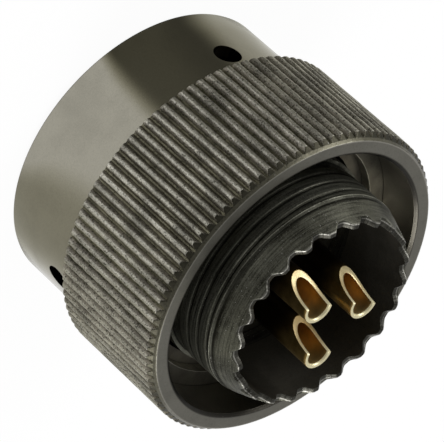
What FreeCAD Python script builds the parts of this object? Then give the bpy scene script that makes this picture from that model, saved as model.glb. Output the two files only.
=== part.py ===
import FreeCAD, Part

import math
import os

import Sketcher

from FreeCAD import Placement, Rotation, Vector

# Circular bayonet plug, seen from its cable side. It stands on the front rim of
# its coupling ring: the origin is the centre of that rim, +Z runs along the
# plug's axis towards the cable, and every length is in millimetres.

doc = FreeCAD.newDocument("circular_plug")
sheet = doc.addObject("Spreadsheet::Sheet", "sizes")

driving = [
    # Plug shell, outwards from the bore that holds its inserts
    ("shell_bore_radius", 7.5),
    ("bore_step", 1.15),
    ("front_barrel_wall", 0.8),
    ("thread_wall", 1.23),
    ("thread_relief_depth", 0.45),
    ("neck_step", 0.22),
    ("hub_step", 0.45),
    ("collar_step", 2.25),
    ("band_step", 0.13),
    ("tooth_cone_step", 0.7),
    ("edge_bevel", 0.2),
    # Plug shell, along its length
    ("shell_recess", 0.9),
    ("hub_length", 1.6),
    ("insert_shelf", 0.35),
    ("collar_thickness", 2.0),
    ("neck_length", 3.6),
    ("thread_relief_length", 0.75),
    ("thread_length", 3.8),
    ("band_length", 0.2),
    ("tooth_cone_length", 2.0),
    # Teeth round the rear end
    ("tooth_count", 22),
    ("tooth_height", 0.6),
    ("tooth_crest_angle", 3.2),
    ("tooth_root_angle", 4.6),
    ("tooth_phase", 87.0),
    ("tooth_corner_radius", 0.3),
    ("tooth_root_radius", 0.5),
    # Keys on the front barrel, at the angles that set the plug's polarity
    ("key_height", 0.6),
    ("key_width", 1.5),
    ("master_key_width", 2.8),
    ("key_setback", 0.7),
    # Coupling ring: smooth sleeve in front, straight knurl behind
    ("ring_shoulder_height", 9.2),
    ("rear_lip_length", 3.7),
    ("hub_clearance", 0.25),
    ("collar_clearance", 0.18),
    ("sleeve_wall", 0.92),
    ("sleeve_edge_bevel", 0.25),
    ("rear_wall", 1.72),
    ("knurl_length", 10.63),
    ("knurl_depth", 0.36),
    ("knurl_crest_flat", 0.24),
    ("knurl_floor_flat", 0.2),
    ("knurl_count", 98),
    ("knurl_front_bevel", 0.3),
    ("knurl_rear_bevel_length", 0.6),
    ("knurl_rear_bevel_depth", 0.45),
    ("knurl_end_length", 0.16),
    ("knurl_end_depth", 0.39),
    # Bayonet grooves inside the sleeve and the three sight holes at their ends
    ("bayonet_count", 3),
    ("bayonet_groove_depth", 1.3),
    ("bayonet_groove_width", 2.0),
    ("bayonet_entry_height", 2.0),
    ("bayonet_turn", 105.0),
    ("sight_hole_radius", 1.08),
    ("sight_hole_height", 5.3),
    ("sight_hole_angle", -21.0),
    # Washers and snap ring that hold the coupling ring on the shell
    ("wave_space", 1.6),
    ("wave_thickness", 0.35),
    ("wave_count", 3),
    ("wave_clearance", 0.48),
    ("thrust_thickness", 0.7),
    ("thrust_clearance", 0.2),
    ("neck_clearance", 0.25),
    ("snap_thickness", 0.9),
    ("snap_width", 1.73),
    ("snap_groove_depth", 0.5),
    ("snap_gap_angle", 16.0),
    # Inserts
    ("insert_clearance", 0.05),
    ("insert_setback", 0.4),
    ("disc_thickness", 1.6),
    ("rear_insert_length", 3.8),
    ("clip_thickness", 0.6),
    ("clip_width", 1.27),
    ("clip_groove_depth", 0.5),
    ("clip_gap_angle", 28.0),
    ("gasket_thickness", 0.6),
    # Contacts
    ("contact_count", 3),
    ("contact_circle_radius", 2.78),
    ("socket_setback", 0.9),
    ("socket_bore_radius", 0.82),
    ("socket_radius", 1.12),
    ("socket_lead", 0.1),
    ("socket_floor", 0.4),
    ("shaft_setback", 0.2),
    ("slot_width", 0.3),
    ("slot_setback", 1.0),
    ("drill_point", 0.45),
    ("cup_radius", 1.26),
    ("cup_bore_radius", 0.94),
    ("cup_bore_depth", 5.4),
    ("cup_reach", 1.05),
    ("scoop_length", 3.08),
    ("scoop_offset", 0.09),
    ("scoop_bow", 0.22),
    ("flange_radius", 1.72),
    ("flange_thickness", 0.95),
    ("hood_wall", 0.2),
    ("hood_lip", 0.25),
    ("hood_mouth_radius", 1.0),
    ("fit_gap", 0.03),
    ("face_gap", 0.05),
    # How far a cutting outline runs past the piece it cuts
    ("overcut", 0.4),
]

keyAngles = {"master": 0.0, "first": 105.0, "second": 140.0, "third": 215.0, "fourth": 265.0}
contactTurns = {"a": -90.0, "b": 150.0, "c": 30.0}
scoopTurns = {"a": -143.0, "b": -154.0, "c": -149.0}


class Size:
    """A size that carries both its value and the expression that binds it to the sheet."""

    def __init__(self, value, text):
        self.value = float(value)
        self.text = text

    def combine(self, other, sign, value, flip=False):
        left, right = (number(other), self) if flip else (self, number(other))
        return Size(value(left.value, right.value), "(%s %s %s)" % (left.text, sign, right.text))

    def __add__(self, other):
        return self.combine(other, "+", lambda a, b: a + b)

    def __radd__(self, other):
        return self.combine(other, "+", lambda a, b: a + b, True)

    def __sub__(self, other):
        return self.combine(other, "-", lambda a, b: a - b)

    def __rsub__(self, other):
        return self.combine(other, "-", lambda a, b: a - b, True)

    def __mul__(self, other):
        return self.combine(other, "*", lambda a, b: a * b)

    def __rmul__(self, other):
        return self.combine(other, "*", lambda a, b: a * b, True)

    def __truediv__(self, other):
        return self.combine(other, "/", lambda a, b: a / b)

    def __rtruediv__(self, other):
        return self.combine(other, "/", lambda a, b: a / b, True)


def number(value):
    if isinstance(value, Size):
        return value
    return Size(value, "%g" % value)


class Sizes:
    """Every driving dimension by name, read back from the sheet."""

    def __init__(self):
        for row, (alias, value) in enumerate(driving, start=1):
            sheet.set("A%d" % row, alias)
            sheet.set("B%d" % row, str(value))
            sheet.setAlias("B%d" % row, alias)
        doc.recompute()
        for alias, value in driving:
            setattr(self, alias, Size(sheet.get(alias), "sizes.%s" % alias))


dim = Sizes()

# Radii, outwards from the shell's bore
frontBore = dim.shell_bore_radius - dim.bore_step
frontBarrel = frontBore + dim.front_barrel_wall
keyRadius = frontBarrel + dim.key_height
threadRadius = dim.shell_bore_radius + dim.thread_wall
bandRadius = threadRadius - dim.band_step
toothRadius = bandRadius - dim.tooth_cone_step
neckRadius = threadRadius + dim.neck_step
hubRadius = neckRadius + dim.hub_step
collarRadius = neckRadius + dim.collar_step
ringFrontBore = hubRadius + dim.hub_clearance
ringRearBore = collarRadius + dim.collar_clearance
grooveRadius = ringFrontBore + dim.bayonet_groove_depth
sleeveRadius = grooveRadius + dim.sleeve_wall
crestRadius = ringRearBore + dim.rear_wall

# Heights up the stack, each from the one below it
shellFront = dim.shell_recess
collarBottom = dim.ring_shoulder_height + dim.face_gap
collarTop = collarBottom + dim.collar_thickness
hubBottom = collarBottom - dim.hub_length
thrustBottom = collarTop + dim.wave_space
thrustTop = thrustBottom + dim.thrust_thickness
snapBottom = thrustTop + dim.face_gap
snapTop = snapBottom + dim.snap_thickness
ringEnd = snapTop + dim.rear_lip_length
knurlStart = ringEnd - dim.knurl_length
neckEnd = collarTop + dim.neck_length
threadBottom = neckEnd + dim.thread_relief_length
bandBottom = threadBottom + dim.thread_length
bandTop = bandBottom + dim.band_length
shellEnd = bandTop + dim.tooth_cone_length

# Inserts and contacts
insertRadius = dim.shell_bore_radius - dim.insert_clearance
insertFront = shellFront + dim.insert_setback
discBottom = hubBottom + dim.insert_shelf
discTop = discBottom + dim.disc_thickness
rearInsertTop = discTop + dim.rear_insert_length
clipBottom = rearInsertTop + dim.face_gap
clipTop = clipBottom + dim.clip_thickness
clipOuter = dim.shell_bore_radius + dim.clip_groove_depth - dim.face_gap
socketFront = insertFront + dim.socket_setback
shaftStart = discBottom - dim.shaft_setback
flangeBottom = discTop - dim.flange_thickness
flangeTop = discTop - dim.fit_gap
cupEnd = shellEnd + dim.cup_reach
hoodRadius = dim.socket_radius + dim.fit_gap + dim.hood_wall

# Rings round the shell
thrustInner = neckRadius + dim.neck_clearance
thrustOuter = ringRearBore - dim.thrust_clearance
waveOuter = ringRearBore - dim.wave_clearance
snapOuter = ringRearBore + dim.snap_groove_depth - dim.face_gap
keyCorner = keyRadius + dim.master_key_width * dim.master_key_width / (8 * keyRadius)
gasketInner = keyCorner + dim.face_gap
gasketOuter = hubRadius - dim.fit_gap

# Turns about the axis, in degrees
quarterTurn = 90
notchTurn = dim.tooth_phase + 180 / dim.tooth_count
ringTurn = dim.sight_hole_angle - dim.bayonet_turn


def bind(obj, path, size):
    obj.setExpression(path, number(size).text)


def newBody(label):
    body = doc.addObject("PartDesign::Body", label)
    body.Label = label
    return body


def originPlane(body, role):
    return [feature for feature in body.Origin.OriginFeatures if feature.Role == role][0]


def newSketch(body, name, role="XZ_Plane"):
    sketch = body.newObject("Sketcher::SketchObject", name)
    sketch.AttachmentSupport = [(originPlane(body, role), "")]
    sketch.MapMode = "FlatFace"
    return sketch


def outline(sketch, points):
    """A closed outline of straight lines whose every corner is bound to the sheet."""
    first = sketch.GeometryCount
    count = len(points)
    places = [Vector(number(across).value, number(up).value, 0) for across, up in points]
    for index in range(count):
        sketch.addGeometry(Part.LineSegment(places[index], places[(index + 1) % count]), False)
    join = Sketcher.Constraint
    for index in range(count):
        following = first + (index + 1) % count
        sketch.addConstraint(join("Coincident", first + index, 2, following, 1))
    for index, (across, up) in enumerate(points):
        for kind, size in (("DistanceX", number(across)), ("DistanceY", number(up))):
            place = sketch.addConstraint(join(kind, -1, 1, first + index, 1, size.value))
            sketch.setExpression("Constraints[%d]" % place, size.text)


def roundedOutline(sketch, corners):
    """A closed outline whose corners are rounded by the radius given with each."""
    places = [Vector(across.value, up.value, 0) for across, up, radius in corners]
    count = len(corners)
    arcs = []
    for index, place in enumerate(places):
        radius = corners[index][2].value
        before = (places[index - 1] - place).normalize()
        after = (places[(index + 1) % count] - place).normalize()
        opening = before.getAngle(after) / 2
        reach = radius / math.tan(opening)
        middle = place + (before + after).normalize() * (radius / math.sin(opening) - radius)
        arcs.append((place + before * reach, middle, place + after * reach, radius))
    for index, (start, middle, end, radius) in enumerate(arcs):
        if radius:
            sketch.addGeometry(Part.Arc(start, middle, end), False)
        sketch.addGeometry(Part.LineSegment(end, arcs[(index + 1) % count][0]), False)


def circle(sketch, across, up, radius):
    across, up, radius = number(across), number(up), number(radius)
    centre = Vector(across.value, up.value, 0)
    index = sketch.addGeometry(Part.Circle(centre, Vector(0, 0, 1), radius.value), False)
    for kind, size in (("DistanceX", across), ("DistanceY", up)):
        place = sketch.addConstraint(Sketcher.Constraint(kind, -1, 1, index, 3, size.value))
        sketch.setExpression("Constraints[%d]" % place, size.text)
    place = sketch.addConstraint(Sketcher.Constraint("Radius", index, radius.value))
    sketch.setExpression("Constraints[%d]" % place, radius.text)


def revolved(body, name, points, angle=360, kind="PartDesign::Revolution"):
    sketch = newSketch(body, name + "_outline")
    outline(sketch, points)
    feature = body.newObject(kind, name)
    feature.Profile = sketch
    feature.ReferenceAxis = (sketch, ["V_Axis"])
    bind(feature, "Angle", angle)
    return feature


def polar(body, name, originals, count):
    pattern = body.newObject("PartDesign::PolarPattern", name)
    pattern.Originals = originals
    pattern.Axis = (originPlane(body, "Z_Axis"), [""])
    pattern.Angle = 360
    bind(pattern, "Occurrences", count)
    body.Tip = pattern
    return pattern


# Coupling ring
def couplingRing():
    ring = newBody("coupling_ring")
    bevel = dim.sleeve_edge_bevel
    grooveTop, grooveBottom = snapTop + dim.face_gap, snapBottom - dim.face_gap
    grooveOuter = ringRearBore + dim.snap_groove_depth
    knurlEnd = ringEnd - dim.knurl_rear_bevel_length
    turned = [
        (ringFrontBore + bevel, 0),
        (sleeveRadius - bevel, 0),
        (sleeveRadius, bevel),
        (sleeveRadius, knurlStart),
        (crestRadius - dim.knurl_front_bevel, knurlStart),
        (crestRadius, knurlStart + dim.knurl_front_bevel),
        (crestRadius, knurlEnd),
        (crestRadius - dim.knurl_end_depth, knurlEnd + dim.knurl_end_length),
        (crestRadius - dim.knurl_rear_bevel_depth, ringEnd),
        (ringRearBore + dim.edge_bevel, ringEnd),
        (ringRearBore, ringEnd - dim.edge_bevel),
        (ringRearBore, grooveTop),
        (grooveOuter, grooveTop),
        (grooveOuter, grooveBottom),
        (ringRearBore, grooveBottom),
        (ringRearBore, dim.ring_shoulder_height),
        (ringFrontBore, dim.ring_shoulder_height),
        (ringFrontBore, bevel),
    ]
    revolved(ring, "turned_ring", turned)

    # Straight knurl: one flat-bottomed groove cut along the ring, then repeated round it
    groove = newSketch(ring, "knurl_groove_outline", "XY_Plane")
    pitch = 2 * math.pi * crestRadius / dim.knurl_count
    half = (pitch - dim.knurl_crest_flat) / 2
    floorHalf = dim.knurl_floor_flat / 2
    spread = half + (half - floorHalf) * dim.overcut / dim.knurl_depth
    outline(groove, [
        (crestRadius - dim.knurl_depth, -1 * floorHalf),
        (crestRadius - dim.knurl_depth, floorHalf),
        (crestRadius + dim.overcut, spread),
        (crestRadius + dim.overcut, -1 * spread),
    ])
    cut = ring.newObject("PartDesign::Pocket", "knurl_groove")
    cut.Profile = groove
    cut.Reversed = True
    bind(cut, "Length", ringEnd)
    polar(ring, "knurl", [cut], dim.knurl_count)

    # Bayonet groove: a straight entry from the front rim, a climbing ramp and a
    # sight hole where the pin comes to rest
    halfWidth = dim.bayonet_groove_width / 2
    inside = ringFrontBore - dim.overcut
    entry = newSketch(ring, "entry_outline", "XY_Plane")
    outline(entry, [
        (inside, -1 * halfWidth),
        (grooveRadius, -1 * halfWidth),
        (grooveRadius, halfWidth),
        (inside, halfWidth),
    ])
    slot = ring.newObject("PartDesign::Pocket", "bayonet_entry")
    slot.Profile = entry
    slot.Reversed = True
    bind(slot, "Length", dim.bayonet_entry_height + halfWidth)

    ramp = newSketch(ring, "ramp_outline")
    outline(ramp, [
        (inside, dim.bayonet_entry_height - halfWidth),
        (grooveRadius, dim.bayonet_entry_height - halfWidth),
        (grooveRadius, dim.bayonet_entry_height + halfWidth),
        (inside, dim.bayonet_entry_height + halfWidth),
    ])
    helix = ring.newObject("PartDesign::SubtractiveHelix", "bayonet_ramp")
    helix.Profile = ramp
    helix.ReferenceAxis = (ramp, ["V_Axis"])
    helix.Mode = "height-turns-angle"
    bind(helix, "Height", dim.sight_hole_height - dim.bayonet_entry_height)
    bind(helix, "Turns", dim.bayonet_turn / 360)

    hole = newSketch(ring, "sight_hole_outline")
    holeTurn = dim.bayonet_turn - quarterTurn
    hole.AttachmentOffset = Placement(Vector(), Rotation(Vector(0, 1, 0), holeTurn.value))
    bind(hole, "AttachmentOffset.Rotation.Angle", holeTurn)
    circle(hole, 0, dim.sight_hole_height, dim.sight_hole_radius)
    sight = ring.newObject("PartDesign::Pocket", "sight_hole")
    sight.Profile = hole
    bind(sight, "Length", crestRadius)

    polar(ring, "bayonet", [slot, helix, sight], dim.bayonet_count)
    ring.Placement = Placement(Vector(), Rotation(Vector(0, 0, 1), ringTurn.value))


# Plug shell: keyed front barrel, hub, collar, neck, threaded rear barrel with teeth
def plugShell():
    shell = newBody("plug_shell")
    bevel = dim.edge_bevel
    clipGroove = dim.shell_bore_radius + dim.clip_groove_depth
    relief = threadRadius - dim.thread_relief_depth
    turned = [
        (frontBore, shellFront),
        (frontBarrel - bevel, shellFront),
        (frontBarrel, shellFront + bevel),
        (frontBarrel, hubBottom),
        (hubRadius, hubBottom),
        (hubRadius, collarBottom),
        (collarRadius, collarBottom),
        (collarRadius, collarTop),
        (neckRadius, collarTop),
        (neckRadius, neckEnd),
        (relief, neckEnd),
        (relief, threadBottom - bevel),
        (threadRadius, threadBottom + bevel),
        (threadRadius, bandBottom - bevel),
        (bandRadius, bandBottom),
        (bandRadius, bandTop),
        (toothRadius, shellEnd),
        (dim.shell_bore_radius, shellEnd),
        (dim.shell_bore_radius, clipTop + dim.face_gap),
        (clipGroove, clipTop + dim.face_gap),
        (clipGroove, clipBottom - dim.face_gap),
        (dim.shell_bore_radius, clipBottom - dim.face_gap),
        (dim.shell_bore_radius, discBottom),
        (frontBore, discBottom),
    ]
    revolved(shell, "turned_shell", turned)

    # Keys: ridges along the outside of the front barrel, the master one wider
    keyFront = shellFront + dim.key_setback
    root = (frontBore + frontBarrel) / 2
    for name, angle in keyAngles.items():
        width = dim.master_key_width if name == "master" else dim.key_width
        face = newSketch(shell, name + "_key_outline", "XY_Plane")
        turn = Rotation(Vector(0, 0, 1), angle)
        face.AttachmentOffset = Placement(Vector(0, 0, keyFront.value), turn)
        bind(face, "AttachmentOffset.Base.z", keyFront)
        outline(face, [
            (root, -1 * width / 2),
            (keyRadius, -1 * width / 2),
            (keyRadius, width / 2),
            (root, width / 2),
        ])
        key = shell.newObject("PartDesign::Pad", name + "_key")
        key.Profile = face
        bind(key, "Length", hubBottom - keyFront)

    # Teeth round the rear end: a notch with rounded corners cut outwards, then repeated
    notch = newSketch(shell, "notch_outline")
    notch.AttachmentOffset = Placement(Vector(), Rotation(Vector(0, 1, 0), notchTurn.value))
    bind(notch, "AttachmentOffset.Rotation.Angle", notchTurn)
    degree = math.pi / 180
    pitch = 360 / dim.tooth_count
    rootHalf = toothRadius * dim.tooth_root_angle * degree / 2
    crestHalf = toothRadius * (pitch - dim.tooth_crest_angle) * degree / 2
    low, high = shellEnd - dim.tooth_height, shellEnd + dim.fit_gap
    far = crestHalf + dim.tooth_corner_radius
    crest, root, square = dim.tooth_corner_radius, dim.tooth_root_radius, number(0)
    roundedOutline(notch, [
        (-1 * rootHalf, low, root),
        (rootHalf, low, root),
        (crestHalf, high, crest),
        (far, high, square),
        (far, high + dim.overcut, square),
        (-1 * far, high + dim.overcut, square),
        (-1 * far, high, square),
        (-1 * crestHalf, high, crest),
    ])
    cut = shell.newObject("PartDesign::Pocket", "notch")
    cut.Profile = notch
    bind(cut, "Length", 2 * bandRadius)
    polar(shell, "teeth", [cut], dim.tooth_count)


# Inserts: rubber front insert with the socket cavities, hard disc and rear insert
def insert(label, turned, holes):
    body = newBody(label)
    revolved(body, label + "_turned", turned)
    cuts = []
    for index, (bottom, top, radius) in enumerate(holes):
        face = newSketch(body, "%s_hole_%d_outline" % (label, index), "XY_Plane")
        face.AttachmentOffset = Placement(Vector(0, 0, number(bottom).value), Rotation())
        bind(face, "AttachmentOffset.Base.z", bottom)
        circle(face, 0, -1 * dim.contact_circle_radius, radius)
        cut = body.newObject("PartDesign::Pocket", "%s_hole_%d" % (label, index))
        cut.Profile = face
        cut.Reversed = True
        bind(cut, "Length", top - bottom)
        cuts.append(cut)
    polar(body, label + "_holes", cuts, dim.contact_count)


def disc(radius, bottom, top, bevel):
    return [
        (0, bottom),
        (radius - bevel, bottom),
        (radius, bottom + bevel),
        (radius, top - bevel),
        (radius - bevel, top),
        (0, top),
    ]


def inserts():
    bevel = dim.edge_bevel
    over = dim.overcut
    cavity = hoodRadius + dim.fit_gap
    shaftHole = dim.cup_radius + dim.fit_gap
    frontRadius = frontBore - dim.insert_clearance
    insert("front_insert", disc(frontRadius, insertFront, discBottom, bevel), [
        (insertFront - over, socketFront, dim.hood_mouth_radius),
        (socketFront - dim.hood_lip - dim.face_gap, discBottom + over, cavity),
    ])
    insert("retention_disc", disc(insertRadius, discBottom, discTop, bevel), [
        (discBottom - over, discTop + over, shaftHole),
        (flangeBottom - dim.fit_gap, discTop + over, dim.flange_radius + dim.fit_gap),
    ])
    insert("rear_insert", disc(insertRadius, discTop, rearInsertTop, bevel), [
        (discTop - over, rearInsertTop + over, shaftHole),
    ])


# Contacts: a turned socket in front, a flange held by the inserts, a solder cup behind
def contact(name):
    body = newBody("socket_contact_" + name)
    boreEnd = shaftStart - dim.socket_floor
    cupFloor = cupEnd - dim.cup_bore_depth
    lead = dim.socket_lead
    turned = [
        (0, boreEnd + dim.drill_point),
        (dim.socket_bore_radius, boreEnd),
        (dim.socket_bore_radius, socketFront + lead),
        (dim.socket_bore_radius + lead, socketFront),
        (dim.socket_radius - lead, socketFront),
        (dim.socket_radius, socketFront + lead),
        (dim.socket_radius, shaftStart),
        (dim.cup_radius, shaftStart),
        (dim.cup_radius, flangeBottom),
        (dim.flange_radius, flangeBottom),
        (dim.flange_radius, flangeTop),
        (dim.cup_radius, flangeTop),
        (dim.cup_radius, cupEnd),
        (dim.cup_bore_radius, cupEnd),
        (dim.cup_bore_radius, cupFloor),
        (0, cupFloor - dim.drill_point),
    ]
    revolved(body, "turned_contact_" + name, turned)

    # Slot that splits the socket into two spring tines
    slotFace = newSketch(body, "slot_outline_" + name)
    half = dim.slot_width / 2
    slotEnd = boreEnd - dim.slot_setback
    outline(slotFace, [
        (-1 * half, socketFront - dim.overcut),
        (half, socketFront - dim.overcut),
        (half, slotEnd),
        (-1 * half, slotEnd),
    ])
    slot = body.newObject("PartDesign::Pocket", "slot_" + name)
    slot.Profile = slotFace
    slot.Midplane = True
    bind(slot, "Length", 4 * dim.socket_radius)

    # Scoop: the cup is cut away on one side along a hollow curve, to about half its depth
    scoopFace = newSketch(body, "scoop_outline_" + name)
    scoopCut(scoopFace)
    scoop = body.newObject("PartDesign::Pocket", "scoop_" + name)
    scoop.Profile = scoopFace
    scoop.Midplane = True
    bind(scoop, "Length", 4 * dim.cup_radius)
    toCircle(body, name, scoopTurns[name])


def toCircle(body, name, turn=0):
    """Stand a piece on the contact circle, at its contact's angle, turned about its own axis."""
    angle = contactTurns[name]
    away = Rotation(Vector(0, 0, 1), angle).multVec(Vector(dim.contact_circle_radius.value, 0, 0))
    body.Placement = Placement(away, Rotation(Vector(0, 0, 1), turn))
    for axis, wave in (("x", "cos"), ("y", "sin")):
        text = "%s * %s(%g deg)" % (dim.contact_circle_radius.text, wave, angle)
        body.setExpression("Placement.Base." + axis, text)


def scoopCut(sketch):
    """The removed side: one bowed edge from the cup's mouth down to its outer wall."""
    over = dim.overcut.value
    mouth = Vector(dim.scoop_offset.value, cupEnd.value, 0)
    foot = Vector(dim.cup_radius.value, (cupEnd - dim.scoop_length).value, 0)
    chord = foot - mouth
    side = Vector(chord.y, -chord.x, 0).normalize()
    middle = (mouth + foot) * 0.5 + side * dim.scoop_bow.value
    top = mouth.y + over
    corners = [foot, Vector(foot.x + over, foot.y - over, 0), Vector(foot.x + over, top, 0)]
    corners += [Vector(mouth.x, top, 0), mouth]
    sketch.addGeometry(Part.Arc(mouth, middle, foot), False)
    for start, end in zip(corners, corners[1:]):
        sketch.addGeometry(Part.LineSegment(start, end), False)


# Hoods: thin steel sleeves that guard the socket tines and guide the mating pin
def hood(name):
    body = newBody("socket_hood_" + name)
    inner = dim.socket_radius + dim.fit_gap
    front = socketFront - dim.hood_lip
    revolved(body, "turned_hood_" + name, [
        (dim.hood_mouth_radius, front),
        (hoodRadius - dim.fit_gap, front),
        (hoodRadius, front + dim.fit_gap),
        (hoodRadius, shaftStart),
        (inner, shaftStart),
        (inner, socketFront - dim.face_gap),
        (dim.hood_mouth_radius, socketFront - dim.face_gap),
    ])
    toCircle(body, name)


# Split rings: a flat ring sprung into its groove, its gap on the side away from the viewer
def splitRing(label, inner, outer, bottom, top, gap):
    body = newBody(label)
    revolved(body, label + "_turned", [
        (inner, bottom),
        (outer, bottom),
        (outer, top),
        (inner, top),
    ], 360 - gap)
    turn = quarterTurn + gap / 2
    body.Placement = Placement(Vector(), Rotation(Vector(0, 0, 1), turn.value))


def flatRing(label, inner, outer, bottom, top):
    body = newBody(label)
    revolved(body, label + "_turned", [
        (inner, bottom),
        (outer, bottom),
        (outer, top),
        (inner, top),
    ])


# Wave washer: a flat ring bent into even waves, squeezed when the plug is locked
def waveWasher():
    inner, outer = thrustInner.value, waveOuter.value
    thickness = dim.wave_thickness.value
    free = (dim.wave_space - 2 * dim.face_gap).value - thickness
    bottom = (collarTop + dim.face_gap).value
    waves = int(dim.wave_count.value)
    steps = 8 * waves

    def edge(radius, lift):
        points = []
        for index in range(steps):
            angle = 2 * math.pi * index / steps
            rise = free * (1 - math.cos(waves * angle)) / 2
            across, along = radius * math.cos(angle), radius * math.sin(angle)
            points.append(Vector(across, along, bottom + lift + rise))
        curve = Part.BSplineCurve()
        curve.interpolate(points, True)
        return curve.toShape()

    low, high = (edge(inner, 0), edge(outer, 0)), (edge(inner, thickness), edge(outer, thickness))
    pairs = [(low[0], low[1]), (high[0], high[1]), (low[0], high[0]), (low[1], high[1])]
    faces = [Part.makeRuledSurface(a, b) for a, b in pairs]
    skin = Part.Shell(faces)
    solid = Part.Solid(skin)
    if solid.Volume < 0:
        solid.reverse()
    washer = doc.addObject("Part::Feature", "wave_washer")
    washer.Label = "wave_washer"
    washer.Shape = solid
    washer.Placement = Placement()


couplingRing()
plugShell()
inserts()
for contactName in contactTurns:
    contact(contactName)
    hood(contactName)
flatRing("main_gasket", gasketInner, gasketOuter, hubBottom - dim.gasket_thickness, hubBottom)
flatRing("thrust_washer", thrustInner, thrustOuter, thrustBottom, thrustTop)
snapInner = snapOuter - dim.snap_width
splitRing("snap_ring", snapInner, snapOuter, snapBottom, snapTop, dim.snap_gap_angle)
clipInner = clipOuter - dim.clip_width
splitRing("insert_clip", clipInner, clipOuter, clipBottom, clipTop, dim.clip_gap_angle)
waveWasher()
doc.recompute()

subParts = [obj for obj in doc.Objects if obj.isDerivedFrom("PartDesign::Body")]
subParts.append(doc.getObject("wave_washer"))
faults = [obj.Name for obj in doc.Objects if "Invalid" in obj.State or "Error" in obj.State]
faults += [obj.Label for obj in subParts if obj.Shape.isNull() or not obj.Shape.isValid()]
faults += [obj.Label for obj in subParts if len(obj.Shape.Solids) != 1]
if faults:
    raise RuntimeError("these objects failed: " + ", ".join(faults))

os.makedirs("parts", exist_ok=True)
for obj in subParts:
    obj.Shape.exportStep("parts/%s.step" % obj.Label)
    print("%-18s volume %9.2f  faces %4d" % (obj.Label, obj.Shape.Volume, len(obj.Shape.Faces)))
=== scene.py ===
import math

import bmesh
import bpy
from mathutils import Matrix, Vector, noise


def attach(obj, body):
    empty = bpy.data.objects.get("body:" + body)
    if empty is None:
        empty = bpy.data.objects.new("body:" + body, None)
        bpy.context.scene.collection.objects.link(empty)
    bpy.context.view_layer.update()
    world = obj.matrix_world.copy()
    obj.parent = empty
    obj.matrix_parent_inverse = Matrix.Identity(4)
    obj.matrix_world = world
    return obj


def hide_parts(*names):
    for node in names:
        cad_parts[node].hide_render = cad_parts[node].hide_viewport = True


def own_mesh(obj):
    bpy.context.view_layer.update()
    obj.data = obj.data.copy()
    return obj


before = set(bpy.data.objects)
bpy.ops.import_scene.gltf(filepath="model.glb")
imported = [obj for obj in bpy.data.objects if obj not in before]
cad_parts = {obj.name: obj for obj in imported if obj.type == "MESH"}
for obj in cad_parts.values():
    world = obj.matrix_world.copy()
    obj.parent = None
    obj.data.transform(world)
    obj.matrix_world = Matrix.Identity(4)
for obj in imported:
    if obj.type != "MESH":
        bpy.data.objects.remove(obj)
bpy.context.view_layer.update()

mm = 0.001
turn = 2 * math.pi


# one output of a node, with arithmetic that adds Math nodes
class Wire:
    def __init__(self, finish, socket):
        self.finish = finish
        self.socket = socket

    def math(self, operation, first, second=0.0):
        return self.finish.add("ShaderNodeMath", {"operation": operation}, {0: first, 1: second})

    def __add__(self, other):
        return self.math("ADD", self, other)

    def __sub__(self, other):
        return self.math("SUBTRACT", self, other)

    def __rsub__(self, other):
        return self.math("SUBTRACT", other, self)

    def __mul__(self, other):
        return self.math("MULTIPLY", self, other)

    def __truediv__(self, other):
        return self.math("DIVIDE", self, other)

    __radd__ = __add__
    __rmul__ = __mul__

    def between(self, low, high):  # 0 below low, 1 above high, smooth in the middle
        return self.finish.add(
            "ShaderNodeMapRange",
            {"interpolation_type": "SMOOTHSTEP", "clamp": True},
            {"Value": self, "From Min": low, "From Max": high, "To Min": 0.0, "To Max": 1.0},
        )


# the nodes of a material or a world, built one by one
class Finish:
    def __init__(self, owner):
        self.owner = owner
        owner.use_nodes = True
        self.tree = owner.node_tree
        self.tree.nodes.clear()

    def add(self, kind, settings=None, values=None, output=0):
        node = self.tree.nodes.new(kind)
        for key, value in (settings or {}).items():
            setattr(node, key, value)
        for key, value in (values or {}).items():
            if isinstance(value, Wire):
                self.tree.links.new(value.socket, node.inputs[key])
            else:
                node.inputs[key].default_value = value
        return Wire(self, node.outputs[output]) if node.outputs else None

    def mix(self, share, low, high):  # colours
        settings = {"data_type": "RGBA", "blend_type": "MIX"}
        return self.add("ShaderNodeMix", settings, {"Factor": share, 6: low, 7: high}, 2)

    def place(self):
        return self.add("ShaderNodeTexCoord", output=3)

    def noise(self, where, scale, detail=3.0, roughness=0.55):
        values = {"Vector": where, "Scale": scale, "Detail": detail, "Roughness": roughness}
        return self.add("ShaderNodeTexNoise", None, values)

    def stretch(self, where, factors):  # the same place, squeezed along an axis
        settings = {"operation": "MULTIPLY"}
        return self.add("ShaderNodeVectorMath", settings, {0: where, 1: factors})

    def bump(self, height, distance):
        return self.add("ShaderNodeBump", None, {"Height": height, "Distance": distance})

    def finishWith(self, shader, kind="ShaderNodeOutputMaterial"):
        self.add(kind, None, {"Surface": shader})
        return self.owner


def newFinish(name):
    return Finish(bpy.data.materials.new(name))


def rgb(red, green, blue):
    return (red, green, blue, 1.0)


# Camera: at the photograph's angle, looking a little down on the cable end
lens = {
    "place": (0.0, -0.2446, 0.1699),
    "right": (-0.6714, 0.4060, 0.6200),
    "up": (-0.7411, -0.3678, -0.5617),
    "focal": 324.0,
    "sensor": 36.0,
}


def makeCamera():
    data = bpy.data.cameras.new("photo_camera")
    data.lens = lens["focal"]
    data.sensor_width = lens["sensor"]
    data.clip_start = 0.01
    camera = bpy.data.objects.new("photo_camera", data)
    bpy.context.scene.collection.objects.link(camera)
    right = Vector(lens["right"]).normalized()
    up = Vector(lens["up"])
    up = (up - right * up.dot(right)).normalized()
    axes = Matrix((right, up, right.cross(up))).transposed()
    camera.matrix_world = Matrix.Translation(lens["place"]) @ axes.to_4x4()
    bpy.context.scene.camera = camera


makeCamera()
print("camera set")


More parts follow.
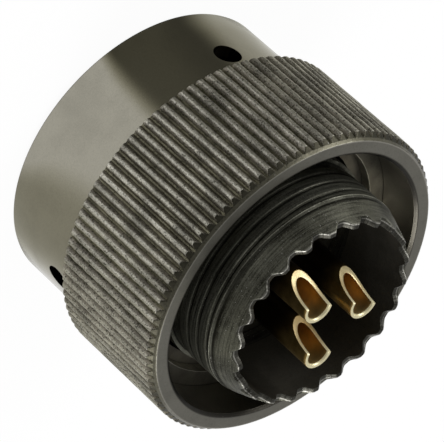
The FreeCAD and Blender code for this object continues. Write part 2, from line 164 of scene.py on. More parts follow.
# Studio: a white floor that metal sees too, two soft boxes and a pale surround
studio = {
    "floorSize": 4.0,
    "floorDrop": 0.0002,
    "floorWhite": 0.9,
    "shadowShare": 0.08,
    "whiteLevel": 1.03,
    "dimTint": (1.0, 0.96, 0.68),
    "surround": 0.4,
    "dimFrom": (0.34, -0.94, 0.0),
    "dimFade": (0.1, 0.8),
    "dimShare": 0.4,
    "boxes": [
        {"name": "left_box", "from": (-0.6, -0.05, 0.26), "size": 0.35, "power": 1.6},
        {"name": "right_box", "from": (0.52, 0.15, 0.38), "size": 0.35, "power": 2.0},
    ],
    # wedges of dim floor round the part, which only its metal mirrors; each opens from
    # its corner along its heading, full inside the first angle and gone past the second
    "wedges": [
        {"corner": (-2.1, -8.0), "heading": -150.0, "full": 30.0, "clear": 52.0, "dim": 0.89},
        {"corner": (-4.0, -6.0), "heading": 173.0, "full": 9.0, "clear": 55.0, "dim": 0.41},
        {"corner": (5.0, -6.0), "heading": -12.0, "full": 20.0, "clear": 60.0, "dim": 0.45},
    ],
}


def makeFloor():
    half = studio["floorSize"] / 2
    drop = -studio["floorDrop"]
    corners = [(-half, -half, drop), (half, -half, drop), (half, half, drop), (-half, half, drop)]
    mesh = bpy.data.meshes.new("floor")
    mesh.from_pydata(corners, [], [(0, 1, 2, 3)])
    floor = bpy.data.objects.new("floor", mesh)
    bpy.context.scene.collection.objects.link(floor)
    floor.data.materials.append(floorFinish())


def seenByEye(finish):
    camera = finish.add("ShaderNodeLightPath", output=0)
    glossy = finish.add("ShaderNodeLightPath", output=3)
    through = finish.add("ShaderNodeLightPath", output=6)
    return finish.add("ShaderNodeClamp", None, {"Value": camera + glossy + through}), glossy


def floorFinish():
    floor = newFinish("studio_floor")
    seen, glossy = seenByEye(floor)
    paper = floor.add("ShaderNodeBsdfDiffuse", None, {"Color": rgb(*[studio["floorWhite"]] * 3)})
    where = floor.place()
    level = studio["whiteLevel"]
    for wedge in studio["wedges"]:
        corner = (wedge["corner"][0] * mm, wedge["corner"][1] * mm, -studio["floorDrop"])
        heading = math.radians(wedge["heading"])
        away = floor.add("ShaderNodeVectorMath", {"operation": "SUBTRACT"}, {0: where, 1: corner})
        side = floor.add("ShaderNodeVectorMath", {"operation": "NORMALIZE"}, {0: away})
        values = {0: side, 1: (math.cos(heading), math.sin(heading), 0)}
        lined = floor.add("ShaderNodeVectorMath", {"operation": "DOT_PRODUCT"}, values, 1)
        full, clear = math.cos(math.radians(wedge["full"])), math.cos(math.radians(wedge["clear"]))
        level = level * (1 - lined.between(clear, full) * glossy * wedge["dim"])
    tint = floor.mix(level / studio["whiteLevel"], rgb(*studio["dimTint"]), rgb(1, 1, 1))
    white = floor.add("ShaderNodeEmission", None, {"Color": tint, "Strength": level})
    share = seen * (1.0 - studio["shadowShare"])
    return floor.finishWith(floor.add("ShaderNodeMixShader", None, {0: share, 1: paper, 2: white}))


def makeLights():
    for box in studio["boxes"]:
        data = bpy.data.lights.new(box["name"], "AREA")
        data.shape = "DISK"
        data.size = box["size"]
        data.energy = box["power"]
        lamp = bpy.data.objects.new(box["name"], data)
        bpy.context.scene.collection.objects.link(lamp)
        lamp.location = box["from"]
        lamp.rotation_euler = (-Vector(box["from"])).to_track_quat("-Z", "Y").to_euler()


def makeSurround():  # dimmer on the side that the camera stands on
    room = Finish(bpy.data.worlds.new("surround"))
    facing = room.add("ShaderNodeTexCoord")
    values = {0: facing, 1: studio["dimFrom"]}
    lined = room.add("ShaderNodeVectorMath", {"operation": "DOT_PRODUCT"}, values, 1)
    eye = room.add("ShaderNodeLightPath")
    around = studio["surround"] * (1 - lined.between(*studio["dimFade"]) * studio["dimShare"])
    level = eye + (1 - eye) * around
    back = room.add("ShaderNodeBackground", None, {"Color": rgb(1, 1, 1), "Strength": level})
    bpy.context.scene.world = room.finishWith(back, "ShaderNodeOutputWorld")


makeFloor()
makeLights()
makeSurround()
bpy.context.scene.view_settings.view_transform = "Standard"
print("studio set")


sharpAngle = math.radians(32)


# Turned pieces: a closed section swept round the axis, each point moved by a shape rule
def turned(name, section, columns, shape=None):
    build = bmesh.new()
    loops = []
    for column in range(columns):
        angle = turn * column / columns
        loop = []
        for radius, height in section:
            a, r, h = shape(angle, radius, height) if shape else (angle, radius, height)
            loop.append(build.verts.new((r * math.cos(a) * mm, r * math.sin(a) * mm, h * mm)))
        loops.append(loop)
    count = len(section)
    for column in range(columns):
        here, there = loops[column], loops[(column + 1) % columns]
        for row in range(count):
            after = (row + 1) % count
            build.faces.new((here[row], there[row], there[after], here[after]))
    bmesh.ops.recalc_face_normals(build, faces=build.faces)
    return shown(name, build)


def shown(name, build):
    mesh = bpy.data.meshes.new(name)
    build.to_mesh(mesh)
    build.free()
    mesh.shade_smooth()
    mesh.set_sharp_from_angle(angle=sharpAngle)
    piece = bpy.data.objects.new(name, mesh)
    bpy.context.scene.collection.objects.link(piece)
    return piece


def dense(points, step, closed=True):  # the same outline with no stretch longer than step
    filled = []
    ends = points[1:] + points[:1] if closed else points[1:]
    for (r0, h0), (r1, h1) in zip(points, ends):
        parts = max(1, math.ceil(math.hypot(r1 - r0, h1 - h0) / step))
        for part in range(parts):
            share = part / parts
            filled.append((r0 + (r1 - r0) * share, h0 + (h1 - h0) * share))
    return filled


def smooth(low, high, value):
    share = min(max((value - low) / (high - low), 0.0), 1.0)
    return share * share * (3 - 2 * share)


def cutAway(piece, cutter):  # the cutter leaves its space empty and is then dropped
    tool = piece.modifiers.new("cut", "BOOLEAN")
    tool.operation = "DIFFERENCE"
    tool.solver = "EXACT"
    tool.object = cutter
    view = bpy.context.evaluated_depsgraph_get()
    cut = bpy.data.meshes.new_from_object(piece.evaluated_get(view))
    piece.modifiers.clear()
    piece.data = cut
    cut.shade_smooth()
    cut.set_sharp_from_angle(angle=sharpAngle)
    bpy.data.objects.remove(cutter)


def box(name, low, high, spin=0.0):
    build = bmesh.new()
    bmesh.ops.create_cube(build, size=1.0)
    for corner in build.verts:
        for axis in range(3):
            corner.co[axis] = (low[axis] if corner.co[axis] < 0 else high[axis]) * mm
    bmesh.ops.rotate(build, verts=build.verts, matrix=Matrix.Rotation(math.radians(spin), 3, "Z"))
    return shown(name, build)


# Coupling ring, front half: a smooth sleeve with bayonet grooves inside and three sight holes
sleeve = {
    "outer": 11.87,
    "bore": 9.65,
    "edge": 0.25,
    "top": 9.2,
    "under": 11.6,
    "knurlStart": 7.57,
    "inside": 9.2,
    "groove": 10.95,
    "grooveWidth": 2.0,
    "entryHeight": 2.0,
    "holeHeight": 5.3,
    "holeMiddle": 11.5,
    "holeReach": 4.0,
    "holeRadius": 1.08,
    "holeAngle": -21.0,
    "climb": 105.0,
    "columns": 240,
}


def rampCutter(name, start):
    build = bmesh.new()
    half = sleeve["grooveWidth"] / 2
    inside, outside = sleeve["inside"], sleeve["groove"]
    steps = 42
    loops = []
    for step in range(steps + 1):
        share = step / steps
        a = math.radians(start + sleeve["climb"] * share)
        h = sleeve["entryHeight"] + (sleeve["holeHeight"] - sleeve["entryHeight"]) * share
        corners = [(inside, h - half), (outside, h - half), (outside, h + half), (inside, h + half)]
        places = [(r * math.cos(a) * mm, r * math.sin(a) * mm, z * mm) for r, z in corners]
        loops.append([build.verts.new(place) for place in places])
    for here, there in zip(loops, loops[1:]):
        for side in range(4):
            after = (side + 1) % 4
            build.faces.new((here[side], here[after], there[after], there[side]))
    build.faces.new(loops[0])
    build.faces.new(loops[-1])
    bmesh.ops.recalc_face_normals(build, faces=build.faces)
    return shown(name, build)


def holeCutter(name, angle):
    build = bmesh.new()
    radius = sleeve["holeRadius"] * mm
    depth = sleeve["holeReach"] * mm
    bmesh.ops.create_cone(build, cap_ends=True, segments=64, depth=depth, radius1=radius, radius2=radius)
    lay = Matrix.Rotation(math.radians(90), 3, "Y")
    bmesh.ops.rotate(build, verts=build.verts, matrix=lay)
    middle = Vector((sleeve["holeMiddle"], 0, sleeve["holeHeight"])) * mm
    bmesh.ops.translate(build, verts=build.verts, vec=middle)
    bmesh.ops.rotate(build, verts=build.verts, matrix=Matrix.Rotation(math.radians(angle), 3, "Z"))
    return shown(name, build)


def makeSleeve():
    s = sleeve
    edge = s["edge"]
    section = [
        (s["bore"] + edge, 0), (s["outer"] - edge, 0), (s["outer"] - 0.07, 0.07), (s["outer"], edge),
        (s["outer"], 2.5), (s["outer"], 5.0),
        (s["outer"], s["knurlStart"]), (s["under"], s["knurlStart"]),
        (s["under"], s["top"]), (s["bore"], s["top"]), (s["bore"], edge),
    ]
    piece = turned("ring_sleeve", section, s["columns"])
    half = s["grooveWidth"] / 2
    for index in range(3):
        hole = s["holeAngle"] + 120 * index
        start = hole - s["climb"]
        low, high = (s["inside"], -half, -1), (s["groove"], half, s["entryHeight"] + half)
        cutAway(piece, box("entry_cut", low, high, start))
        cutAway(piece, rampCutter("ramp_cut", start))
        cutAway(piece, holeCutter("hole_cut", hole))
    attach(piece, "ring")
    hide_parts("coupling_ring")
    return piece


# Coupling ring, rear half: straight knurl, each ridge a little different
knurl = {
    "count": 98,
    "perRidge": 12,
    "crest": 13.1,
    "depth": 0.36,
    "crestShare": 0.31,
    "floorShare": 0.14,
    "ragged": 0.45,
    "worn": 0.03,
    "front": 7.57,
    "rear": 18.2,
    "frontRound": [(0.34, 0.0), (0.2, 0.03), (0.09, 0.1), (0.02, 0.2)],
    "frontBevel": 0.3,
    "bevel": (17.62, 17.98, 12.72),
    "rim": 12.6,
    "bore": 11.38,
    "snapGroove": (11.88, 13.55, 14.55),
    "wobble": 0.02,
}


def knurlShape(angle, radius, height):
    k = knurl
    if radius < k["crest"] - k["depth"]:
        return angle, radius, height
    ridge = angle / turn * k["count"]
    number = math.floor(ridge) % k["count"]
    across = abs(ridge - math.floor(ridge) - 0.5) * 2
    own = noise.noise(Vector((number * 3.7, 1.5, 0.2)))
    torn = noise.noise(Vector((number * 5.1, height * 4.0, 2.0 if ridge % 1.0 < 0.5 else 9.0)))
    crest = k["crestShare"] * (1 + 0.35 * own + k["ragged"] * torn)
    floor = 1 - k["floorShare"]
    fall = min(max((across - crest) / (floor - crest), 0.0), 1.0)
    worn = k["worn"] * min(across / crest, 1.0) ** 2
    along = noise.noise(Vector((number * 1.3, height * 0.8, 4.0))) * k["wobble"]
    groove = k["crest"] - worn - (k["depth"] - k["worn"]) * fall * (1 + 0.06 * own) + along
    return angle, min(radius, max(groove, k["crest"] - k["depth"])), height


def makeKnurl():
    k = knurl
    inner = sleeve["under"]
    deep, low, high = k["snapGroove"]
    bevelStart, bevelEnd, bevelRadius = k["bevel"]
    ridge = [(k["crest"], k["front"] + k["frontBevel"]), (k["crest"], bevelStart - 0.04)]
    bevel = [(k["crest"] - k["worn"], bevelStart), (bevelRadius, bevelEnd)]
    section = [(k["crest"] - inward, k["front"] + up) for inward, up in k["frontRound"]]
    section += dense(ridge, 0.2, closed=False) + [ridge[1]] + dense(bevel, 0.06, closed=False) + [
        bevel[1],
        (k["rim"] + 0.07, k["rear"] - 0.08),
        (k["rim"], k["rear"]),
        (k["bore"] + 0.2, k["rear"]),
        (k["bore"], k["rear"] - 0.2),
        (k["bore"], high),
        (deep, high),
        (deep, low),
        (k["bore"], low),
        (k["bore"], sleeve["top"]),
        (inner, sleeve["top"]),
        (inner, k["front"]),
    ]
    piece = turned("ring_knurl", section, k["count"] * k["perRidge"], knurlShape)
    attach(piece, "ring")
    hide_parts("coupling_ring")
    return piece


ringSleeve = makeSleeve()
ringKnurl = makeKnurl()
print("coupling ring made")


# Plug shell, front half: keyed barrel, hub, collar and neck
shellFront = {
    "barrel": 7.15,
    "bore": 6.35,
    "front": 0.9,
    "shelf": 8.0,
    "hub": (9.4, 7.65, 9.25),
    "collar": (11.2, 11.25),
    "neck": (8.95, 14.85),
    "relief": 8.28,
    "rearBore": 7.5,
    "split": 15.4,
    "clipGroove": (8.0, 13.4, 14.1),
    "keys": [(0, 2.8), (105, 1.5), (140, 1.5), (215, 1.5), (265, 1.5)],
    "keyFoot": 6.75,
    "keyRadius": 7.75,
    "keyFront": 1.6,
}


def makeShellFront():
    s = shellFront
    hub, hubLow, hubHigh = s["hub"]
    collar, collarHigh = s["collar"]
    neck, neckHigh = s["neck"]
    deep, clipLow, clipHigh = s["clipGroove"]
    section = [
        (s["bore"], s["front"]), (s["barrel"] - 0.2, s["front"]), (s["barrel"], s["front"] + 0.2),
        (s["barrel"], hubLow), (hub, hubLow), (hub, hubHigh),
        (collar - 0.06, hubHigh), (collar, hubHigh + 0.06),
        (collar, collarHigh - 0.06), (collar - 0.06, collarHigh), (neck, collarHigh), (neck, neckHigh),
        (s["relief"], neckHigh), (s["relief"], s["split"]), (s["rearBore"], s["split"]),
        (s["rearBore"], clipHigh), (deep, clipHigh), (deep, clipLow), (s["rearBore"], clipLow),
        (s["rearBore"], s["shelf"]), (s["bore"], s["shelf"]),
    ]
    pieces = [turned("shell_front", section, 192)]
    for angle, width in s["keys"]:
        half = width / 2
        low, high = (s["keyFoot"], -half, s["keyFront"]), (s["keyRadius"], half, hubLow)
        pieces.append(box("shell_key_%d" % angle, low, high, angle))
    for piece in pieces:
        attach(piece, "shell")
        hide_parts("plug_shell")
    return pieces


# Plug shell, rear half: rolled thread, plain band and a crown of 22 teeth
crown = {
    "major": 8.73,
    "threadDepth": 0.08,
    "crestShare": 0.6,
    "pitch": 1.0583,
    "threadStart": 15.6,
    "threadEnd": 19.4,
    "band": 8.6,
    "coneStart": 19.6,
    "toothBase": 20.6,
    "tip": 7.9,
    "end": 21.6,
    "teeth": 22,
    "toothHeight": 0.6,
    "crest": 1.9,
    "root": 2.6,
    "phase": 87.0,
    "perTooth": 32,
}


def toothDrop(angle):  # how far the crown's edge falls at this angle
    c = crown
    pitch = 360 / c["teeth"]
    number = (math.degrees(angle) - c["phase"]) / pitch
    off = abs(number - round(number)) * pitch
    own = noise.noise(Vector((round(number) * 2.3, 7.7, 0.4)))
    crest = c["crest"] / 2 * (1 + 0.12 * own)
    root = pitch / 2 - c["root"] / 2
    share = min(max((off - crest) / (root - crest), 0.0), 1.0)
    rounded = 0.15 * share + 0.85 * share * share * (3 - 2 * share)
    worn = 0.04 * noise.noise(Vector((math.cos(angle) * 30, math.sin(angle) * 30, 2.0)))
    return max(c["toothHeight"] * rounded + worn * (1 - share), 0.0)


def crownShape(angle, radius, height):
    c = crown
    outside = radius > (c["tip"] + shellFront["rearBore"]) / 2
    if outside and c["threadStart"] < height < c["threadEnd"]:
        phase = (height / c["pitch"] - angle / turn) % 1.0
        wave = abs(phase - 0.5) * 2
        crest = smooth(c["crestShare"], 1.0, wave) + 0.04 * wave
        fade = smooth(c["threadStart"], c["threadStart"] + 0.35, height)
        radius = radius - c["threadDepth"] * crest * fade
    if height > c["toothBase"]:
        fall = toothDrop(angle) * (height - c["toothBase"]) / (c["end"] - c["toothBase"])
        height = height - fall
        if outside:
            radius = radius + fall * (c["band"] - c["tip"]) / (c["end"] - c["coneStart"])
    return angle, radius, height


def makeCrown():
    c = crown
    thread = [(c["major"], c["threadStart"] + 0.2), (c["major"], c["threadEnd"] - 0.2)]
    cone = [(c["band"], c["coneStart"]), (c["tip"] + 0.02, c["end"] - 0.05)]
    bore = shellFront["rearBore"]
    inner = dense([(bore, c["end"] - 0.05), (bore, c["toothBase"])], 0.2, closed=False)
    section = [(shellFront["relief"], shellFront["split"])] + dense(thread, 0.07, closed=False) + [
        thread[1],
        (c["band"], c["threadEnd"]),
    ] + dense(cone, 0.16, closed=False) + [
        cone[1],
        (c["tip"], c["end"] - 0.02),
        (c["tip"] - 0.03, c["end"]),
        (bore + 0.03, c["end"]),
        (bore, c["end"] - 0.02),
    ] + inner + [(bore, c["toothBase"]), (bore, shellFront["split"])]
    piece = turned("shell_crown", section, c["teeth"] * c["perTooth"], crownShape)
    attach(piece, "shell")
    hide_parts("plug_shell")
    return piece


shellPieces = makeShellFront()
crownPiece = makeCrown()
print("plug shell made")


# Contacts: split sockets in front, scooped solder cups behind
contact = {
    "circle": 2.78,
    "cup": 1.26,
    "cupBore": 0.94,
    "cupEnd": 22.65,
    "cupFloor": 17.25,
    "scoop": {"length": 3.08, "offset": 0.09, "bow": 0.22},
    "flange": (1.72, 8.65, 9.57),
    "socket": (1.12, 0.82, 2.2, 7.4, 7.8),
    "slot": (0.3, 1.5, 6.4),
    "lip": 0.045,
    "drillPoint": (0.001, 0.45),
    "angles": {"a": -90.0, "b": 150.0, "c": 30.0},
    "scoopTurns": {"a": -143.0, "b": -154.0, "c": -149.0},
    "columns": 144,
}


def scoopArc():  # centre and radius of the hollow curve that the cup is cut along
    s = contact["scoop"]
    x0, z0 = s["offset"], contact["cupEnd"]
    x1, z1 = contact["cup"], contact["cupEnd"] - s["length"]
    chord = math.hypot(x1 - x0, z1 - z0)
    radius = chord ** 2 / (8 * s["bow"]) + s["bow"] / 2
    away = radius - s["bow"]
    side = ((z1 - z0) / chord, -(x1 - x0) / chord)
    return (x0 + x1) / 2 - side[0] * away, (z0 + z1) / 2 - side[1] * away, radius


arcAcross, arcUp, arcRadius = scoopArc()
scoopBase = contact["cupEnd"] - contact["scoop"]["length"] - 0.25  # the cup is whole up to here


def cupTop(x):
    if x <= contact["scoop"]["offset"]:
        return contact["cupEnd"]
    inside = max(arcRadius ** 2 - (x - arcAcross) ** 2, 0.0)
    return arcUp - math.sqrt(inside)


def contactShape(angle, radius, height):
    if height <= scoopBase:
        return angle, radius, height
    top = cupTop(radius * math.cos(angle))
    share = (height - scoopBase) / (contact["cupEnd"] - scoopBase)
    return angle, radius, scoopBase + (top - scoopBase) * share


def makeContact(name):
    c = contact
    flange, flangeLow, flangeHigh = c["flange"]
    outer, bore, front, floor, shaft = c["socket"]
    lip = c["lip"]
    point, drop = c["drillPoint"]
    outsideWall = [(c["cup"], scoopBase + 0.2), (c["cup"], c["cupEnd"] - lip)]
    insideWall = [(c["cupBore"], c["cupEnd"] - 0.16), (c["cupBore"], scoopBase + 0.2)]
    section = [
        (point, floor + drop), (bore, floor), (bore, front + 0.1), (bore + 0.1, front),
        (outer - 0.1, front), (outer, front + 0.1), (outer, shaft), (c["cup"], shaft),
        (c["cup"], flangeLow), (flange, flangeLow), (flange, flangeHigh), (c["cup"], flangeHigh),
        (c["cup"], scoopBase),
    ] + dense(outsideWall, 0.3, closed=False) + [
        outsideWall[1], (c["cup"] - lip * 0.4, c["cupEnd"] - lip * 0.3), (c["cup"] - lip, c["cupEnd"]),
        (c["cupBore"] + 0.1, c["cupEnd"]), (c["cupBore"] + 0.04, c["cupEnd"] - 0.05),
    ] + dense(insideWall, 0.3, closed=False) + [
        (c["cupBore"], scoopBase), (c["cupBore"], c["cupFloor"]), (point, c["cupFloor"] - drop),
    ]
    piece = turned("contact_" + name, section, c["columns"], contactShape)
    width, begin, end = c["slot"]
    cutAway(piece, box("slot_cut", (-2, -width / 2, begin), (2, width / 2, end), 90.0))
    spin = Matrix.Rotation(math.radians(c["scoopTurns"][name]), 4, "Z")
    around = math.radians(c["angles"][name])
    centre = Vector((math.cos(around), math.sin(around), 0)) * c["circle"] * mm
    away = Matrix.Translation(centre)
    piece.data.transform(away @ spin)
    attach(piece, "shell")
    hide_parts("socket_contact_" + name)
    return piece


contactPieces = [makeContact(name) for name in contact["angles"]]
print("contacts made")


# Wave washer: three even waves, at their free height
wave = {
    "inner": 9.2,
    "outer": 10.9,
    "bottom": 11.3,
    "thickness": 0.35,
    "free": 1.15,
    "count": 3,
    "kept": 0.46,
    "columns": 144,
}


def waveShape(angle, radius, height):
    return angle, radius, height + wave["free"] * (1 - math.cos(wave["count"] * angle)) / 2


def makeWaveWasher():
    w = wave
    low, high = w["bottom"], w["bottom"] + w["thickness"]
    section = dense([(w["inner"], low), (w["outer"], low), (w["outer"], high), (w["inner"], high)], 0.45)
    piece = turned("spring_washer", section, w["columns"], waveShape)
    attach(piece, "shell")
    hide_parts("wave_washer")
    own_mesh(piece)
    return piece


springWasher = makeWaveWasher()
print("wave washer made")


# Aged metal of the coupling ring and the shell, with painted shade, painted highlight lines and painted
# glints in it: one recipe, with values for each surface.
# Layers are (distance from the axis in mm, colour), blended from one to the next.
ringLook = {
    "name": "ring_sleeve_metal",
    # inside 11.78 mm from the axis the sleeve is painted dark: painted shade in the sight holes, the
    # bayonet grooves, the bore, on the front face and along the front chamfer
    "layers": [(11.78, (0.05, 0.046, 0.036)), (11.85, (0.335, 0.32, 0.265))],
    "cloud": {"scale": 300.0, "low": 0.40, "high": 0.72, "share": 0.1},
    "grain": {"scale": 7000.0, "share": 0.06, "bump": 0.000003},
    "roughness": (0.17, 0.24),
    "pits": 0.05,
    "sparkle": 0.0,
}
knurlLook = {
    "name": "ring_knurl_metal",
    "layers": [
        (12.7, (0.2, 0.19, 0.132)),
        (12.77, (0.25, 0.235, 0.165)),
        (12.86, (0.35, 0.323, 0.268)),
        (12.98, (0.46, 0.43, 0.365)),
        (13.04, (0.71, 0.688, 0.6)),
    ],
    "wander": 0.2,
    "cloud": {"scale": 420.0, "low": 0.35, "high": 0.7, "share": 0.3},
    "grain": {"scale": 9000.0, "share": 0.42, "bump": 0.00005},
    "roughness": (0.44, 0.58),
    "pits": 0.7,
    "sparkle": 0.5,
}
# Faces of the rear bevel that face up: painted shade on the ridge-end facets and the band, darkest on
# the facets, with a painted highlight line at the rim edge (12.6 to 12.64 mm)
bevelShadeAndHighlightLook = {
    "name": "ring_bevel_painted_shade_and_highlight",
    "layers": [
        (12.6, (0.3, 0.29, 0.24)),
        (12.64, (0.16, 0.152, 0.112)),
        (12.72, (0.15, 0.142, 0.105)),
        (12.76, (0.07, 0.066, 0.048)),
    ],
    "cloud": {"scale": 420.0, "low": 0.35, "high": 0.7, "share": 0.25},
    "grain": {"scale": 9000.0, "share": 0.2, "bump": 0.00001},
    "roughness": (0.34, 0.44),
    "pits": 0.4,
    "sparkle": 0.2,
}
rimLook = {
    "name": "ring_rim_metal",
    "layers": [
        (11.382, (0.14, 0.13, 0.103)),
        # from 11.39 mm to 11.72 mm the inner chamfer and the inner edge of the rim face are painted
        # dark: painted shade
        (11.392, (0.04, 0.037, 0.03)),
        (11.58, (0.06, 0.056, 0.046)),
        (11.72, (0.28, 0.27, 0.23)),
        # the last tenth of a millimetre to the outer edge is painted light: a painted highlight line
        (12.48, (0.28, 0.27, 0.23)),
        (12.58, (0.5, 0.48, 0.42)),
    ],
    "cloud": {"scale": 300.0, "low": 0.40, "high": 0.72, "share": 0.15},
    "grain": {"scale": 7000.0, "share": 0.06, "bump": 0.000004},
    "roughness": (0.3, 0.38),
    "pits": 0.1,
    "sparkle": 0.1,
}
snapLook = {
    "name": "snap_ring_steel",
    # inside 10.12 mm the snap ring's inner edge is painted light: a painted highlight line; outside
    # 10.16 mm it is darker
    "layers": [(10.12, (0.6, 0.585, 0.5)), (10.16, (0.19, 0.18, 0.147))],
    "cloud": {"scale": 700.0, "low": 0.35, "high": 0.7, "share": 0.3},
    "grain": {"scale": 6000.0, "share": 0.1, "bump": 0.000006},
    "roughness": (0.38, 0.44),
    "pits": 0.1,
    "sparkle": 0.0,
}
shellLook = {
    "name": "shell_metal",
    "layers": [
        (7.8, (0.14, 0.137, 0.117)),
        (7.87, (0.85, 0.83, 0.75)),
        (7.96, (0.198, 0.198, 0.158)),
        (8.56, (0.188, 0.188, 0.15)),
        # 8.6 to 8.69 mm painted dark: painted shade on the plain band, the thread run-out step and the
        #                              thread grooves
        (8.6, (0.095, 0.095, 0.076)),
        (8.69, (0.095, 0.095, 0.076)),
        (8.715, (0.42, 0.42, 0.34)),
    ],
    "cloud": {"scale": 500.0, "low": 0.35, "high": 0.7, "share": 0.3},
    "grain": {"scale": 9000.0, "share": 0.3, "bump": 0.00001},
    "lines": {"scale": 9000.0, "share": 0.45, "bump": 0.000008},
    "roughness": (0.44, 0.56),
    "pits": 0.2,
    "sparkle": 0.5,
}
boreLook = {
    "name": "shell_bore_metal",
    "layers": [(7.4, (0.16, 0.15, 0.123))],
    "cloud": {"scale": 500.0, "low": 0.35, "high": 0.7, "share": 0.2},
    "grain": {"scale": 9000.0, "share": 0.12, "bump": 0.000004},
    "lines": {"scale": 9000.0, "share": 0.08, "bump": 0.000002},
    "roughness": (0.46, 0.56),
    "pits": 0.2,
    "sparkle": 0.1,
}


# Grime and pits that time has left on all of that metal, and bright specks that are painted glints
wearAndGlints = {
    "grime": (0.01, 0.009, 0.006),
    "pit": {"colour": (0.015, 0.014, 0.01), "scale": 7500.0, "low": 0.59, "high": 0.65},
    "spark": {"colour": (0.85, 0.84, 0.78), "scale": 9000.0, "low": 0.71, "high": 0.77},
}


def layered(metal, where, layers, wander):  # colour by distance from the axis
    flat = metal.stretch(where, (1.0, 1.0, 0.0))
    radius = metal.add("ShaderNodeVectorMath", {"operation": "LENGTH"}, {0: flat}, 1)
    if wander:
        drift = metal.noise(metal.stretch(where, (1.0, 1.0, 0.5)), 5200.0, 3.0, 0.6)
        radius = radius + (drift - 0.5) * (wander * mm)
    colour = rgb(*layers[0][1])
    for (low, _), (high, after) in zip(layers, layers[1:]):
        colour = metal.mix(radius.between(low * mm, high * mm), colour, rgb(*after))
    return colour


def agedMetalWithPaintedLight(look):
    metal = newFinish(look["name"])
    where = metal.place()
    cloud, grain, lines = look["cloud"], look["grain"], look.get("lines")
    clouds = metal.noise(where, cloud["scale"], 4.0).between(cloud["low"], cloud["high"])
    grains = metal.noise(where, grain["scale"], 2.0, 0.7)
    shade = 1 - clouds * cloud["share"] - grains.between(0.3, 0.68) * grain["share"]
    height = grains * grain["bump"]
    if lines:  # the fine rings that turning leaves
        rings = metal.noise(metal.stretch(where, (0.03, 0.03, 1.0)), lines["scale"], 3.0, 0.7)
        shade = shade - rings.between(0.35, 0.65) * lines["share"]
        height = height + rings * lines["bump"]
    layers = layered(metal, where, look["layers"], look.get("wander"))
    colour = metal.mix(shade, rgb(*wearAndGlints["grime"]), layers)
    pit, spark = wearAndGlints["pit"], wearAndGlints["spark"]
    pits = metal.noise(where, pit["scale"], 1.0, 0.4).between(pit["low"], pit["high"])
    colour = metal.mix(pits * look["pits"], colour, rgb(*pit["colour"]))
    # bright specks: painted glints
    sparks = metal.noise(where, spark["scale"], 1.0).between(spark["low"], spark["high"])
    colour = metal.mix(sparks * look["sparkle"], colour, rgb(*spark["colour"]))
    low, high = look["roughness"]
    rough = low + (high - low) * clouds
    normal = metal.bump(height, 1.0)
    values = {"Base Color": colour, "Metallic": 1.0, "Roughness": rough, "Normal": normal}
    return metal.finishWith(metal.add("ShaderNodeBsdfPrincipled", None, values))


# Gold of the cups; each look fades into another colour between two heights: painted shade down the
# shafts and in the hollows, a painted highlight on the lips
goldLooks = {
    "outside": {
        "light": (0.7, 0.5, 0.2), "dark": (0.4, 0.27, 0.09),
        "roughness": 0.34, "metallic": 1.0,
        # darker down the shaft, deep in the bore: painted shade
        "fade": {"colour": (0.05, 0.034, 0.014), "full": 18.6, "none": 21.0},
    },
    "inside": {
        "light": (0.88, 0.57, 0.19), "dark": (0.62, 0.39, 0.12),
        "roughness": 0.52, "metallic": 1.0,
        # darker towards the open end of the hollow: painted shade over its reflection
        "fade": {"colour": (0.3, 0.21, 0.08), "full": 22.3, "none": 20.9},
    },
    "lip": {
        "light": (1.0, 0.86, 0.5), "dark": (0.78, 0.61, 0.31),
        "roughness": 0.4, "metallic": 0.6,
        # paler towards the cup's end: a painted highlight
        "fade": {"colour": (1.0, 0.91, 0.58), "full": 22.5, "none": 21.0},
    },
}


def goldMetal(name, look):
    gold = newFinish("contact_gold_" + name)
    where = gold.place()
    clouds = gold.noise(where, 900.0)
    colour = gold.mix(clouds.between(0.3, 0.7), rgb(*look["dark"]), rgb(*look["light"]))
    fade = look["fade"]
    height = gold.add("ShaderNodeSeparateXYZ", None, {"Vector": where}, 2)
    # the height fade: painted shade on the shafts and hollows, a painted highlight on the lips
    colour = gold.mix(height.between(fade["none"] * mm, fade["full"] * mm), colour, rgb(*fade["colour"]))
    normal = gold.bump(gold.noise(where, 7000.0, 2.0), 0.000006)
    values = {
        "Base Color": colour, "Normal": normal,
        "Metallic": look["metallic"], "Roughness": look["roughness"],
    }
    return gold.finishWith(gold.add("ShaderNodeBsdfPrincipled", None, values))


steelLooks = {
    "spring_steel": {"light": (0.2, 0.19, 0.155), "dark": (0.12, 0.113, 0.09), "roughness": 0.4},
    "washer_steel": {"light": (0.2, 0.185, 0.15), "dark": (0.12, 0.11, 0.088), "roughness": 0.45},
    "hood_steel": {"light": (0.55, 0.54, 0.5), "dark": (0.4, 0.39, 0.36), "roughness": 0.25},
}


def steel(name, look):
    metal = newFinish(name)
    where = metal.place()
    clouds = metal.noise(where, 700.0)
    colour = metal.mix(clouds.between(0.3, 0.7), rgb(*look["dark"]), rgb(*look["light"]))
    normal = metal.bump(metal.noise(where, 6000.0, 2.0), 0.000006)
    values = {"Base Color": colour, "Metallic": 1.0, "Roughness": look["roughness"], "Normal": normal}
    return metal.finishWith(metal.add("ShaderNodeBsdfPrincipled", None, values))


softLooks = {
    "insert_rubber": {"light": (0.022, 0.021, 0.018), "dark": (0.008, 0.008, 0.007), "roughness": 0.6},
    "insert_plastic": {"light": (0.13, 0.122, 0.1), "dark": (0.085, 0.08, 0.065), "roughness": 0.45},
    "gasket_rubber": {"light": (0.03, 0.029, 0.027), "dark": (0.012, 0.012, 0.011), "roughness": 0.7},
}


def moulded(name, look):
    soft = newFinish(name)
    where = soft.place()
    clouds = soft.noise(where, 1100.0, 4.0)
    colour = soft.mix(clouds.between(0.35, 0.7), rgb(*look["dark"]), rgb(*look["light"]))
    normal = soft.bump(soft.noise(where, 4000.0), 0.00001)
    values = {"Base Color": colour, "Roughness": look["roughness"], "Normal": normal}
    return soft.finishWith(soft.add("ShaderNodeBsdfPrincipled", None, values))


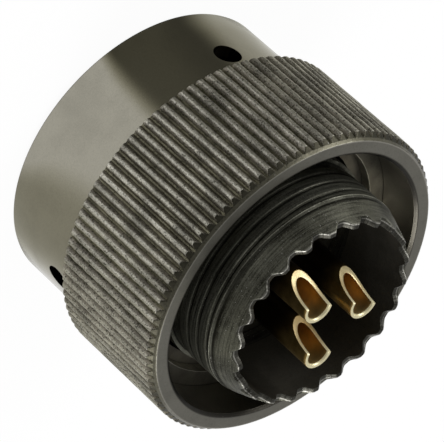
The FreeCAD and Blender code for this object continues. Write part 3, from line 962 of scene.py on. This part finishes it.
def dress(piece, material):
    piece.data.materials.clear()
    piece.data.materials.append(material)


dress(ringSleeve, agedMetalWithPaintedLight(ringLook))
dress(ringKnurl, agedMetalWithPaintedLight(knurlLook))
ringKnurl.data.materials.append(agedMetalWithPaintedLight(rimLook))
ringKnurl.data.materials.append(agedMetalWithPaintedLight(bevelShadeAndHighlightLook))
for face in ringKnurl.data.polygons:  # the rim and the bore are plain, only the outside is rough
    middle = face.center / mm
    plain = math.hypot(middle.x, middle.y) < knurl["rim"]
    # faces of the rear bevel that face up take the bevel look, which paints shade on them
    bevelled = face.normal.z > 0.3 and middle.z > knurl["bevel"][0]
    face.material_index = 1 if plain else 2 if bevelled else 0
shellMetal = agedMetalWithPaintedLight(shellLook)
for piece in shellPieces + [crownPiece]:
    dress(piece, shellMetal)
crownPiece.data.materials.append(agedMetalWithPaintedLight(boreLook))
for face in crownPiece.data.polygons:
    face.material_index = 1 if face.center.to_2d().length < (shellFront["rearBore"] + 0.01) * mm else 0
golds = [goldMetal(name, look) for name, look in goldLooks.items()]
for name, piece in zip(contact["angles"], contactPieces):
    dress(piece, golds[0])
    for gold in golds[1:]:
        piece.data.materials.append(gold)
    around = math.radians(contact["angles"][name])
    centre = Vector((math.cos(around), math.sin(around), 0)) * contact["circle"]
    for face in piece.data.polygons:  # the hollow of the cup and its lip have looks of their own
        middle = face.center / mm
        across = (middle - centre).to_2d().length
        if middle.z > contact["cupFloor"] and across < contact["cup"] - 0.01:
            face.material_index = 1 if across < contact["cupBore"] + 0.015 else 2

steels = {name: steel(name, look) for name, look in steelLooks.items()}
softs = {name: moulded(name, look) for name, look in softLooks.items()}
dress(springWasher, steels["spring_steel"])
nodeFinishes = {
    "snap_ring": agedMetalWithPaintedLight(snapLook),
    "insert_clip": steels["spring_steel"],
    "thrust_washer": steels["washer_steel"],
    "socket_hood_a": steels["hood_steel"],
    "socket_hood_b": steels["hood_steel"],
    "socket_hood_c": steels["hood_steel"],
    "front_insert": softs["insert_rubber"],
    "rear_insert": softs["insert_plastic"],
    "retention_disc": softs["insert_plastic"],
    "main_gasket": softs["gasket_rubber"],
}
for name, material in nodeFinishes.items():
    dress(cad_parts[name], material)
print("materials made")
